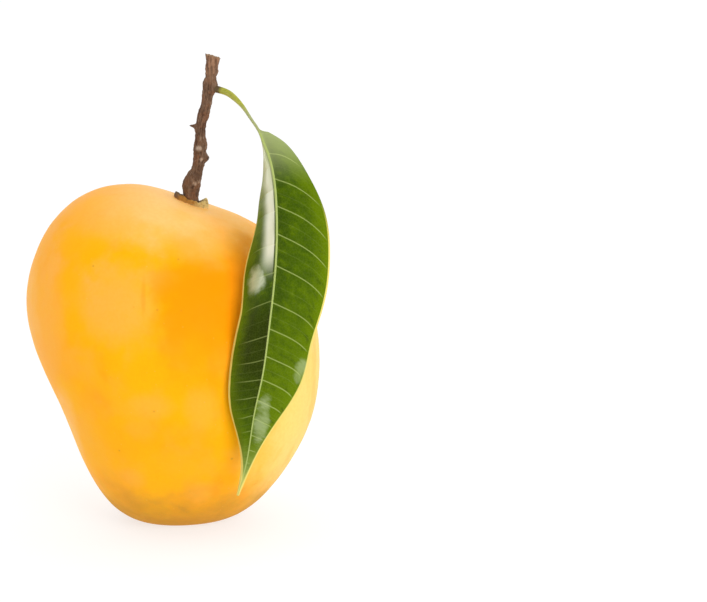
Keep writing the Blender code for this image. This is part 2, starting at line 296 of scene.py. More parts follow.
# Painted highlight and sheen on the leaf's upper face: how far its middle lies from the rib or the margin,
# half its width, how far its middle lies from the blade's base, and half its length
HIGHLIGHT_BLOB = (7.6, 3.2, 46.5, 3.8)
RIB_SHEEN = (2.4, 1.9, 87.5, 6.8)
EDGE_SHEEN = (1.4, 1.7, 71.5, 3.0)

# Lights: place, what it is aimed at, width and height, all in metres, and power in watts
KEY_LIGHT = ((0.40, -0.68, 0.36), (0.0, 0.0, 0.06), (0.5, 0.5), 4.2)
FILL_LIGHT = ((-0.55, -0.12, 0.28), (0.0, 0.0, 0.06), (0.3, 0.3), 0.38)
STRIP_LIGHT = ((-0.461, 0.124, 0.163), (0.03, -0.035, 0.10), (0.52, 0.24), 2.8)

# Surroundings: a direction's Y over which they brighten from the camera's side to the back, and its Z over
# which they brighten from the walls to the ceiling
BACK_BRIGHTENS = (-0.35, -0.05)
CEILING_BRIGHTENS = (0.6, 1.0)

# Camera: where the photograph was taken from
CAMERA_TARGET = (0.0532, 0.0, 0.069)
CAMERA_DISTANCE = 0.6
CAMERA_ELEVATION = 12.0
CAMERA_LENS = 100.0
CAMERA_SENSOR = 36.0

# Sockets of a Mix node that mixes colours
MIX_FIRST, MIX_SECOND, MIX_RESULT = 6, 7, 2


def colour(name, description, default):
    """A colour that a user may change."""
    return bpy.props.FloatVectorProperty(
        name=name, description=description, subtype="COLOR", size=3, min=0.0, max=1.0, default=default
    )


def length(name, description, default):
    """A length in metres that a user may change."""
    return bpy.props.FloatProperty(
        name=name, description=description, default=default, min=0.0, precision=5,
        unit="LENGTH", subtype="DISTANCE",
    )


def strength(name, description, default):
    """A strength of light that a user may change."""
    return bpy.props.FloatProperty(name=name, description=description, default=default, min=0.0)


class FruitSettings(bpy.types.PropertyGroup):
    """Colours and sizes of the skin."""

    golden: colour("Golden", "Colour of most of the skin", (0.95, 0.43, 0.0))
    # Orange also paints the shade and bounce light beside the leaf.
    orange: colour("Orange", "Colour of the ripest skin", (0.95, 0.30, 0.0))
    peach: colour("Peach", "Colour of the soft clouds under the wax", (0.95, 0.43, 0.065))
    # Pale also paints the crown's highlight and the rim light on the high shoulder's edge, besides the pale
    # pores.
    pale: colour("Pale", "Colour beside the stem", (0.96, 0.57, 0.19))
    # Blush also paints the leaf's shadow on the cheek.
    blush_and_leaf_shade: colour("Blush", "Colour of the deepest orange", (0.72, 0.22, 0.0))
    # Cream is painted rim light on the low shoulder's side.
    rim_lit_cream: colour("Cream", "Colour of the low shoulder", (0.96, 0.62, 0.17))
    # Ochre is partly the tip's own colour and specks, partly painted shade at the tip and a painted shadow
    # beside the leaf.
    ochre: colour("Ochre", "Colour of the weathered tip", (0.50, 0.24, 0.02))
    cloud_size: length("Cloud size", "Width of a cloud of colour in the skin", 0.010)
    pore_spacing: length("Pore spacing", "Distance between the pores of the skin", 0.0028)
    speck_spacing: length("Speck spacing", "Distance between places for a dark speck", 0.0075)


class StemSettings(bpy.types.PropertyGroup):
    """Colours and sizes of the bark."""

    bark: colour("Bark", "Colour of most of the bark", (0.118, 0.058, 0.030))
    weathered: colour("Weathered bark", "Colour of the grey skin of the bark", (0.22, 0.135, 0.085))
    ruddy: colour("Ruddy bark", "Colour of the redder patches of the bark", (0.18, 0.075, 0.034))
    dark: colour("Dark bark", "Colour of the darker patches of the bark", (0.06, 0.032, 0.02))
    raised: colour("Raised bark", "Colour of the fibres that stand out most", (0.42, 0.29, 0.20))
    young: colour("Young bark", "Colour of the bark near the cut", (0.38, 0.20, 0.11))
    crevice: colour("Crevice", "Colour in the cracks of the bark", (0.035, 0.014, 0.008))
    scar: colour("Scar", "Colour of the healed scars", (0.52, 0.38, 0.28))
    collar: colour("Collar", "Colour of the cushion on the skin", (0.38, 0.18, 0.035))
    collar_spot: colour("Collar spots", "Colour of the dried spots on the cushion", (0.20, 0.10, 0.03))
    sepal: colour("Sepal", "Colour of the dried stub on the low side", (0.62, 0.47, 0.18))
    flake: colour("Flake", "Colour of the dried sepals' light parts", (0.17, 0.10, 0.05))
    charred: colour("Dark flake", "Colour of the dried sepals' dark parts", (0.05, 0.032, 0.02))
    skin: colour("Skin", "Colour of the skin that rises to the collar", (0.97, 0.60, 0.22))
    wood: colour("Wood", "Colour of the cut end", (0.38, 0.24, 0.14))
    end_grain: colour("End grain", "Colour of the grain in the cut end", (0.30, 0.18, 0.09))
    fibre_relief: length("Fibre relief", "How far the fibres stand out of the bark", 0.00012)
    crack_depth: length("Crack depth", "Depth of the cracks between them", 0.00012)


class LeafSettings(bpy.types.PropertyGroup):
    """Colours and sizes of the leaf."""

    green: colour("Green", "Colour of the blade's upper face", (0.050, 0.096, 0.001))
    deep: colour("Deep green", "Colour of the upper face beside the rib", (0.028, 0.058, 0.002))
    bright: colour("Bright green", "Colour of the upper face near the margin", (0.105, 0.170, 0.0))
    shaded: colour("Dark green", "Colour of the upper face's darkest part", (0.020, 0.028, 0.001))
    under: colour("Underside", "Colour of the lower face", (0.20, 0.28, 0.06))
    rib: colour("Rib", "Colour of the rib and the veins", (0.42, 0.50, 0.15))
    # Streak and blob are a painted highlight on the left half beside the rib.
    highlight_streak: colour("Streak", "Colour of the bright streak beside the rib", (0.74, 0.72, 0.49))
    highlight_blob: colour("Blob", "Colour of the bright blob below the streak", (0.56, 0.64, 0.38))
    sheen: colour("Sheen", "Colour of the soft sheen near the tip", (0.38, 0.46, 0.20))
    # The blade base colour is a painted sheen beside the stalk.
    base_sheen: colour("Blade base", "Colour of the blade beside the stalk", (0.45, 0.50, 0.23))
    stalk: colour("Stalk", "Colour of the stalk", (0.43, 0.42, 0.06))
    stalk_spot: colour("Stalk spots", "Colour of the stalk's greener spots", (0.36, 0.38, 0.05))
    stalk_end: colour("Stalk end", "Colour of the stalk beside the blade", (0.36, 0.40, 0.22))
    stalk_foot: colour("Stalk foot", "Colour of the stalk beside the stem", (0.13, 0.085, 0.04))
    margin: colour("Margin", "Colour of the thin line round the blade", (0.74, 0.62, 0.15))
    vein_width: length("Vein width", "Width of a side vein", 0.00031)
    net_size: length("Net size", "Width of a mesh of the net between the veins", 0.0008)


class StageSettings(bpy.types.PropertyGroup):
    """Floor, surroundings and lights."""

    floor_size: length("Floor size", "Length of a side of the floor", 60.0)
    floor: colour("Floor", "Colour of the floor", (0.36, 0.36, 0.36))
    glow: strength("Glow", "Light that comes through the floor, as on a light table", 0.69)
    surroundings: colour("Surroundings", "Colour of the studio's walls", (1.0, 1.0, 1.0))
    brightness: strength("Brightness", "Brightness of the surroundings", 1.08)
    dimness: strength("Brightness in front", "Brightness of the room on the camera's side", 0.35)


class Wire:
    """The output of a node, which can be written in sums. Each operator adds one Math node."""

    def __init__(self, nodes, socket):
        self.nodes = nodes
        self.socket = socket

    def __add__(self, other):
        return self.nodes.maths("ADD", self, other)

    def __sub__(self, other):
        return self.nodes.maths("SUBTRACT", self, other)

    def __rsub__(self, other):
        return self.nodes.maths("SUBTRACT", other, self)

    def __mul__(self, other):
        return self.nodes.maths("MULTIPLY", self, other)

    def __truediv__(self, other):
        return self.nodes.maths("DIVIDE", self, other)

    def __rtruediv__(self, other):
        return self.nodes.maths("DIVIDE", other, self)

    __radd__ = __add__
    __rmul__ = __mul__


class Nodes:
    """The nodes of a material or of the surroundings."""

    def __init__(self, tree):
        self.tree = tree

    def put(self, socket, value):
        """Links a wire to a socket, or sets the socket to a number, a vector or a colour."""
        if isinstance(value, Wire):
            self.tree.links.new(value.socket, socket)
        elif socket.type == "RGBA" and len(value) == 3:
            socket.default_value = (*value, 1.0)
        else:
            socket.default_value = value

    def node(self, kind, settings=None, inputs=None, output=0):
        """Adds a node: first its settings, then the values or links of its sockets."""
        node = self.tree.nodes.new(kind)
        for name, value in (settings or {}).items():
            setattr(node, name, value)
        for name, value in (inputs or {}).items():
            self.put(node.inputs[name], value)
        return Wire(self, node.outputs[output])

    def maths(self, operation, *values):
        return self.node("ShaderNodeMath", {"operation": operation}, dict(enumerate(values)))

    def blend(self, share, first, second):
        """A colour between two colours."""
        inputs = {"Factor": share, MIX_FIRST: first, MIX_SECOND: second}
        return self.node("ShaderNodeMix", {"data_type": "RGBA"}, inputs, MIX_RESULT)

    def ease(self, value, start, end):
        """0 at start, 1 at end and a soft step between; start may be the larger."""
        inputs = {"Value": value, "From Min": start, "From Max": end}
        return self.node("ShaderNodeMapRange", {"interpolation_type": "SMOOTHSTEP"}, inputs)


class Coat(Nodes):
    """A material being made: its Principled shader and the nodes that feed it."""

    def __init__(self, name):
        self.material = bpy.data.materials.new(name)
        self.material.use_nodes = True
        super().__init__(self.material.node_tree)
        self.shader = self.tree.nodes["Principled BSDF"]
        self.place = self.node("ShaderNodeTexCoord", output="Object")

    def clouds(self, size, detail=2.0, place=None, shift=0.0, roughness=0.5):
        """Noise from 0 to 1 with lumps of a size in metres; shift takes another piece of the noise."""
        moved = self.node(
            "ShaderNodeVectorMath", {"operation": "ADD"}, {0: place or self.place, 1: (shift, shift, shift)}
        )
        inputs = {"Vector": moved, "Scale": 1.0 / size, "Detail": detail, "Roughness": roughness}
        return self.node("ShaderNodeTexNoise", {}, inputs, "Fac")

    def cells(self, size, feature="F1", place=None, output="Distance"):
        """Voronoi cells of a size in metres; distances are shares of that size."""
        inputs = {"Vector": place or self.place, "Scale": 1.0 / size}
        return self.node("ShaderNodeTexVoronoi", {"feature": feature}, inputs, output)

    def chance(self, size, channel):
        """A random number from 0 to 1 for each Voronoi cell of a size in metres."""
        return self.node("ShaderNodeSeparateColor", {}, {0: self.cells(size, output="Color")}, channel)

    def stretched(self, factors):
        """The place on the piece, scaled along each axis."""
        return self.node("ShaderNodeVectorMath", {"operation": "MULTIPLY"}, {0: self.place, 1: factors})

    def axis(self, name):
        """One coordinate of the place on the piece, in millimetres."""
        return self.node("ShaderNodeSeparateXYZ", {}, {0: self.place}, name) / MM

    def distance_from(self, place):
        """How far each point is from a place on the piece, in millimetres."""
        inputs = {0: self.place, 1: place}
        return self.node("ShaderNodeVectorMath", {"operation": "DISTANCE"}, inputs, "Value") / MM

    def measure(self, name):
        """A number that the mesh keeps at its points."""
        return self.node("ShaderNodeAttribute", {"attribute_name": name}, {}, "Fac")

    def oval(self, across, up, ragged):
        """1 inside an oval patch and 0 outside, given how many half-sizes away a place is each way."""
        return self.ease(across * across + up * up + ragged, 2.3, -0.3)

    def relief(self, height):
        """Feeds the shader's normal from a height in millimetres."""
        bump = self.node("ShaderNodeBump", {}, {"Height": height, "Distance": MM})
        self.put(self.shader.inputs["Normal"], bump)

    def feed(self, **values):
        """Sets or links the shader's sockets, named with underscores for spaces."""
        for name, value in values.items():
            self.put(self.shader.inputs[name.replace("_", " ")], value)


def spline(knots, values):
    """The natural cubic spline through values, which are numbers or points, at rising knots."""
    knots = np.asarray(knots, float)
    values = np.asarray(values, float)
    step = np.diff(knots)
    slope = (np.diff(values, axis=0).T / step).T
    last = len(knots) - 1
    system = np.eye(last + 1)
    bend = np.zeros_like(values)
    for i in range(1, last):
        system[i, i - 1 : i + 2] = step[i - 1], 2 * (step[i - 1] + step[i]), step[i]
        bend[i] = 6 * (slope[i] - slope[i - 1])
    bend = np.linalg.solve(system, bend)

    def at(t):
        t = np.asarray(t, float)
        i = np.clip(np.searchsorted(knots, t) - 1, 0, last - 1)
        spread = t.shape + (1,) * (values.ndim - 1)
        before = ((knots[i + 1] - t) / step[i]).reshape(spread)
        width = step[i].reshape(spread)
        after = 1 - before
        curve = (before**3 - before) * bend[i] + (after**3 - after) * bend[i + 1]
        return before * values[i] + after * values[i + 1] + curve * width**2 / 6

    return at


def unit(vectors):
    return vectors / np.linalg.norm(vectors, axis=-1, keepdims=True)


def soft_step(value, start, end):
    """0 at start, 1 at end and a soft step between; start may be the larger."""
    share = np.clip((value - start) / (end - start), 0.0, 1.0)
    return share * share * (3 - 2 * share)


def lumps(points, size, seed):
    """Smooth noise, about -0.5 to 0.5, at points in millimetres; size may differ along each axis."""
    spots = points / np.asarray(size, float) + seed
    heights = [noise.noise(spot) for spot in spots.reshape(-1, 3).tolist()]
    return np.array(heights).reshape(points.shape[:-1])


def unevenness(points, layers):
    """Layers of smooth noise added up, each with how high and how wide its lumps are, and its seed."""
    return sum(height * lumps(points, size, seed) for height, size, seed in layers)


def closed_mesh(name, rings, measures):
    """A closed smooth body through rings of points in millimetres, each end fanned to its middle.

    measures holds numbers for each point of the rings, which the mesh keeps for the material.
    """
    belts, count = rings.shape[:2]
    ends = [rings[0].mean(axis=0), rings[-1].mean(axis=0)]
    corners = np.concatenate([rings.reshape(-1, 3), ends]) * MM
    here = np.arange(belts * count).reshape(belts, count)
    beside = np.roll(here, -1, axis=1)
    quads = np.stack([here[:-1], beside[:-1], beside[1:], here[1:]], axis=-1).reshape(-1, 4)
    first_end, last_end = belts * count, belts * count + 1
    fans = [(int(b), int(a), first_end) for a, b in zip(here[0], beside[0])]
    fans += [(int(a), int(b), last_end) for a, b in zip(here[-1], beside[-1])]
    mesh = bpy.data.meshes.new(name)
    mesh.from_pydata(corners.tolist(), [], quads.tolist() + fans)
    shape = bmesh.new()
    shape.from_mesh(mesh)
    bmesh.ops.recalc_face_normals(shape, faces=shape.faces)
    shape.to_mesh(mesh)
    shape.free()
    for measure, values in measures.items():
        layer = mesh.attributes.new(measure, "FLOAT", "POINT")
        ends = [values[0].mean(), values[-1].mean()]
        layer.data.foreach_set("value", np.concatenate([values.reshape(-1), ends]).astype(np.float32))
    mesh.shade_smooth()
    return mesh


def add_piece(name, mesh, coat, node):
    """Puts a mesh in the scene as the dressed form of a node of the frame."""
    piece = bpy.data.objects.new(name, mesh)
    bpy.context.scene.collection.objects.link(piece)
    mesh.materials.append(coat.material)
    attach(piece, BODY)
    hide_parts(node)


def lean(z):
    """How far the line from tip to stem end has moved along X at a height."""
    return TIP[0] + (STEM_END[0] - TIP[0]) * z / STEM_END[1]


def closed_outline(right, left):
    """Distance from the core to an outline, as a function of the angle from the stem end, left negative."""
    corners = [STEM_END, *right, TIP, *reversed(left)]
    upright = [(x - lean(z), z - CORE_HEIGHT) for x, z in corners]
    angles = [math.atan2(x, z) % math.tau for x, z in upright]
    radii = [math.hypot(x, z) for x, z in upright]
    angles[0] = 0.0
    turns = [angle + turn for turn in (-math.tau, 0.0, math.tau) for angle in angles]
    around = spline(turns, radii * 3)
    return lambda angle: around(angle % math.tau)


def leant(points):
    """Points of the narrow outline with the lean put in, for closed_outline to take out again."""
    return [(y + lean(z), z) for y, z in points]


broad_outline = closed_outline(LOW_SHOULDER_SIDE, HIGH_SHOULDER_SIDE)
narrow_outline = closed_outline(leant(CHEEK_SIDE), leant([(-y, z) for y, z in CHEEK_SIDE]))


def skin_points(polar, around, lift=0.0):
    """Points of the skin at angles from the stem end and angles round from +X, lifted off by lift."""
    right = broad_outline(polar)
    left = broad_outline(-polar)
    deep = narrow_outline(polar)
    mean = (right + left) / 2
    radius = lift + (mean + deep) / 2
    radius = radius + (right - left) / 2 * np.cos(around) + (mean - deep) / 2 * np.cos(2 * around)
    for height, waves, belts, phase in SWELLINGS:
        swelling = np.sin(waves * around + phase) * np.cos(belts * polar + phase)
        radius = radius + height * np.sin(polar) ** 2 * swelling
    z = CORE_HEIGHT + radius * np.cos(polar)
    x = radius * np.sin(polar) * np.cos(around) + lean(z)
    return np.stack([x, radius * np.sin(polar) * np.sin(around), z], axis=-1)


def flat_edge(around):
    """The angle from the stem end at which the skin comes down to the floor."""
    above = np.full_like(around, math.pi / 2)
    below = np.full_like(around, math.pi)
    for _ in range(40):
        middle = (above + below) / 2
        under = skin_points(middle, around)[..., 2] < 0
        below = np.where(under, middle, below)
        above = np.where(under, above, middle)
    return above


def fruit_mesh():
    """The skin with its slow unevenness, puckered round the stem, and flat where it rests."""
    around = np.linspace(0.0, math.tau, FRUIT_SIDES, endpoint=False)[None, :]
    edge = flat_edge(around)
    share = np.linspace(0.0, 1.0, FRUIT_BELTS + 1)[1:, None]
    polar = share * edge
    smooth = skin_points(polar, around)
    lift = unevenness(smooth, SKIN_LUMPS)
    from_stem = np.hypot(smooth[..., 0] - STEM_END[0], smooth[..., 1])
    folds = 1 + FOLD_SHARE * np.cos(PUCKER_FOLDS * around + 2 * np.sin(3 * around))
    near_stem = np.exp(-((from_stem / PUCKER_REACH) ** 2)) * soft_step(smooth[..., 2], *PUCKER_SETS_IN)
    lift = lift - PUCKER_DEPTH * near_stem * folds
    lift = lift * soft_step(smooth[..., 2], 0.0, SMOOTH_FOOT)
    skin = skin_points(polar, around, lift)
    skin[-1, :, 2] = 0.0
    rim = skin[-1]
    middle = rim.mean(axis=0)
    inward = np.linspace(1.0, 0.0, FLAT_BELTS, endpoint=False)[1:, None, None]
    flat = middle + (rim - middle) * inward
    return closed_mesh("mango_fruit", np.concatenate([skin, flat]), {})


def skin_coat(settings):
    """Waxy skin: soft clouds of gold, orange and peach, pale by the stem and ochre at the tip.

    Part of the pale by the stem is a painted highlight, and part of the ochre is painted shade. The skin
    also has painted rim light on both sides and painted shade beside the leaf.
    """
    coat = Coat("mango_skin")
    x, y, z = coat.axis("X"), coat.axis("Y"), coat.axis("Z")
    size = settings.cloud_size
    wide = coat.clouds(2.2 * size, 3.0)
    middling = coat.clouds(size, 4.0, shift=0.31)
    small = coat.clouds(0.4 * size, 5.0, shift=0.62, roughness=0.6)
    fine = coat.clouds(0.11 * size, 4.0, shift=0.13, roughness=0.6)
    streaky = coat.clouds(0.7 * size, 4.0, coat.stretched((1.0, 1.0, 0.4)), shift=0.83)
    front = coat.ease(y, 4.0, -16.0)

    mottled = 0.25 + 0.6 * coat.maths("MAXIMUM", coat.ease(z, 50.0, 90.0), 0.5 * (1 - front))
    tone = coat.blend(coat.ease(wide, 0.42, 0.66) * 0.3, settings.golden, settings.orange)
    tone = coat.blend(coat.ease(middling + 0.4 * wide, 0.58, 0.88) * mottled, tone, settings.peach)
    tone = coat.blend(coat.ease(streaky, 0.55, 0.72) * 0.3, tone, settings.orange)
    tone = coat.blend(coat.ease(small, 0.52, 0.72) * 0.35, tone, settings.golden)
    blotch = 10 * middling + 6 * small + 6 * streaky
    # Deep orange field right of the middle, beside the leaf: partly the skin's own orange, partly painted
    # shade of the leaf and painted orange bounce light.
    ripe_and_shaded = coat.ease(x + blotch, 2.0, 14.0) * coat.ease(z + 14 * wide + 8 * small, 52.0, 84.0)
    ripe_and_shaded = ripe_and_shaded * coat.ease(z + blotch, 107.0, 92.0) * coat.ease(y, 6.0, -14.0)
    tone = coat.blend(ripe_and_shaded * 0.95, tone, settings.orange)
    ragged = 2.4 * middling + 1.6 * small - 2.0
    for across, up, half_width, half_height, paint, share in SKIN_PATCHES:
        patch = coat.oval((x - across) / half_width, (z - up) / half_height, ragged)
        tone = coat.blend(patch * front * share, tone, getattr(settings, paint))
    # Pale crown beside the stem: partly the skin's own paler tone, partly a painted highlight of the light
    # from above.
    shoulder = coat.ease(z + 14 * middling, 95.0, 108.0) * coat.ease(x + 8 * small, -26.0, 4.0)
    tone = coat.blend(shoulder * 0.9, tone, settings.pale)
    # Cream along the low shoulder's side: painted rim light.
    rim_lit_side = coat.ease(x + 8 * middling - 0.16 * z, 16.0, 34.0) * coat.ease(z + blotch, 98.0, 74.0)
    rim_lit_side = rim_lit_side * coat.ease(y + blotch, 48.0, 14.0) * (1 - 0.3 * coat.ease(streaky, 0.5, 0.7))
    tone = coat.blend(rim_lit_side * 0.95, tone, settings.rim_lit_cream)
    # Ochre towards the tip: partly the skin's own ochre, partly painted shade where the fruit meets the
    # floor.
    ochre_tip_and_shade = coat.ease(z - 16 * middling - 6 * small, 12.5, -9.0)
    tone = coat.blend(ochre_tip_and_shade * 0.9, tone, settings.ochre)
    blotches = coat.ease(coat.clouds(0.9 * size, 5.0, shift=0.9, roughness=0.65), 0.62, 0.74)
    tone = coat.blend(blotches * coat.ease(z, 34.0, 6.0) * 0.5, tone, settings.ochre)

    pores = coat.cells(settings.pore_spacing)
    some = coat.ease(coat.chance(settings.pore_spacing, "Red"), 0.45, 0.55)
    pale_pore = coat.ease(pores, 0.11, 0.05) * some
    tone = coat.blend(pale_pore * 0.15, tone, settings.pale)
    specks = coat.cells(settings.speck_spacing)
    chosen = coat.chance(settings.speck_spacing, "Green")
    across, up, half_width, half_height = FRECKLES
    freckled = coat.oval((x - across) / half_width, (z - up) / half_height, ragged) * front
    speck = coat.ease(specks, 0.075, 0.03) * coat.ease(chosen + 0.4 * freckled, 0.66, 0.72)
    tone = coat.blend(speck * 0.45, tone, settings.ochre)
    tone = coat.blend(coat.ease(fine, 0.35, 0.7) * 0.12, tone, settings.orange)

    coat.relief(0.035 * small + 0.012 * fine - 0.02 * pale_pore)
    coat.feed(
        Base_Color=tone, Roughness=0.38 + 0.16 * middling + 0.2 * ochre_tip_and_shade, Subsurface_Weight=0.10,
        Subsurface_Radius=(1.0, 0.35, 0.1), Subsurface_Scale=0.003, Specular_IOR_Level=0.08,
    )
    return coat


class MakeFruit(bpy.types.Operator):
    """Make the fruit with its waxy skin"""

    bl_idname = "mango.make_fruit"
    bl_label = "Fruit"

    def execute(self, context):
        coat = skin_coat(context.scene.mango_fruit)
        add_piece("mango_fruit", fruit_mesh(), coat, "fruit")
        return {"FINISHED"}


def sepal_form(around):
    """How far the dried sepals reach past the cushion, and how high they stand, in each direction."""
    reach, height = 0.0, 0.0
    for degrees, outward, upward in SEPALS:
        share = np.maximum(0.0, np.cos(around - math.radians(degrees))) ** SEPAL_NARROWNESS
        reach = reach + outward * share
        height = height + upward * share
    return reach, height


def collar_rings(around):
    """The cushion and the dried sepals, from inside the fruit up to the foot of the stem."""
    knots = np.linspace(0.0, 1.0, len(COLLAR_SECTION))
    section = spline(knots, COLLAR_SECTION)(np.linspace(0.0, 1.0, COLLAR_BELTS))
    share, lift, sepal_share = (section[:, i, None] for i in range(3))
    past, height = sepal_form(around)
    crumple = sum(far * np.sin(waves * around + phase) for far, waves, phase in COLLAR_CRUMPLE)
    radius = CUSHION_RADIUS - CUSHION_SHORTFALL * np.sin(around) ** 2
    reach = ROOT_RADIUS + (radius + past + crumple - ROOT_RADIUS) * share
    polar = reach / (STEM_END[1] - CORE_HEIGHT)
    rings = skin_points(polar, around, lift + sepal_share * height)
    rise = unevenness(rings, COLLAR_LUMPS)
    return rings + soft_step(lift, -0.2, 0.8)[..., None] * rise[..., None] * np.array([0.6, 0.6, 1.0])


def knob_rise(height, around):
    """How far scars, the side bud and the leaf's bracket stand out of the stem."""
    rise = 0.0
    for place, degrees, reach, half_height, narrowness in STEM_KNOBS:
        facing = np.maximum(0.0, np.cos(around - math.radians(degrees))) ** narrowness
        rise = rise + reach * facing * np.exp(-(((height - place) / half_height) ** 2))
    return rise


def bark_relief(height, around, settings):
    """Fibres, cracks, ring scars and pores of the bark, in millimetres."""
    round_place = np.stack([np.cos(around), np.sin(around), np.zeros_like(around)], axis=-1) * 1.8
    upright = np.stack([np.zeros_like(height), np.zeros_like(height), height], axis=-1)
    place = round_place + upright
    relief = settings.fibre_relief / MM * unevenness(place, FIBRE_LUMPS) + unevenness(place, BARK_LUMPS)
    for share, size, seed, width in BARK_CRACKS:
        crack = soft_step(np.abs(lumps(place, size, seed)), width, 0.0)
        relief = relief - share * settings.crack_depth / MM * crack
    for place_up, depth, half_height in RING_SCARS:
        wander = 0.35 * np.sin(around + place_up) + 0.15 * np.sin(3 * around)
        away = (height + wander - place_up) / half_height
        relief = relief + depth * (1.6 * np.exp(-((away - 1.6) ** 2)) - 1.5 * np.exp(-(away**2)))
    draw = np.random.default_rng(12)
    for _ in range(BARK_PORES):
        up, turn = draw.uniform(*PORE_HEIGHTS), draw.uniform(0.0, math.tau)
        wide, tall = draw.uniform(*PORE_HALF_WIDTH), draw.uniform(*PORE_HALF_HEIGHT)
        rise = draw.uniform(*PORE_RISE)
        turned = (around - turn + math.pi) % math.tau - math.pi
        relief = relief + rise * np.exp(-((1.8 * turned / wide) ** 2) - ((height - up) / tall) ** 2)
    return relief


def stem_mesh(settings):
    """The woody stem with its collar, scars, fibres and ragged slanting cut."""
    around = np.linspace(0.0, math.tau, STEM_SIDES, endpoint=False)[None, :]
    knots = np.linspace(0.0, 1.0, len(STEM_LINE))
    centre_line = spline(knots, STEM_LINE)
    along = np.append(np.linspace(STEM_START, STEM_STOP, STEM_BELTS), 1.0)[:, None]
    centre = centre_line(along[:, 0])[:, None, :]
    ahead = unit(centre_line(along[:, 0] + 0.01) - centre_line(along[:, 0] - 0.01))[:, None, :]
    side = unit(np.array([1.0, 0.0, 0.0]) - ahead * ahead[..., :1])
    back = np.cross(ahead, side)
    height = centre[..., 2] + 0 * around
    relief = bark_relief(height, around + 0 * height, settings)
    radius = spline(knots, STEM_RADII)(along) + knob_rise(height, around) + relief
    for rise, ridges, turn in BARK_RIDGES:
        radius = radius + rise * np.sin(ridges * around + turn * height)
    outward = side * np.cos(around)[..., None] + back * np.sin(around)[..., None]
    wood = centre + radius[..., None] * outward
    end = wood[-1]
    torn = unevenness(end * [1, 1, 0], TORN_LUMPS)
    wood[-1, :, 2] = centre[-1, 0, 2] - CUT_SLOPE * (end[:, 0] - centre[-1, 0, 0]) + torn - 0.1
    collar = collar_rings(around)
    neck_share = soft_step(np.linspace(0.0, 1.0, NECK_BELTS + 2)[1:-1], 0.0, 1.0)[:, None, None]
    neck = collar[-1] + (wood[0] - collar[-1]) * neck_share
    rim = wood[-1]
    middle = rim.mean(axis=0)
    inward = np.linspace(1.0, 0.06, CUT_BELTS)[1:, None, None]
    cut = middle + (rim - middle) * inward
    grain = unevenness(cut, GRAIN_LUMPS)
    hollow = 0.35 * soft_step(inward[..., 0], 0.4, 0.0) + 0.12 * soft_step(inward[..., 0], 1.0, 0.8)
    cut[..., 2] += grain - hollow
    rings = np.concatenate([collar, neck, wood, cut])
    low = np.zeros((COLLAR_BELTS + NECK_BELTS, STEM_SIDES))
    high = np.zeros((CUT_BELTS - 1, STEM_SIDES))
    up_collar = np.linspace(0.0, 1.0, COLLAR_BELTS)[:, None]
    up_neck = 1 + neck_share[..., 0]
    collar_share = np.concatenate([up_collar, up_neck, np.full((len(wood), 1), 2.0), high[:, :1] + 2])
    collar_share = collar_share + 0 * rings[..., 0]
    cut_share = np.concatenate([low, np.zeros(relief.shape), high + 1])
    measures = {
        "bark_relief": np.concatenate([low, relief, high]),
        "collar": collar_share,
        "cut": cut_share,
    }
    return closed_mesh("mango_stem", rings, measures)


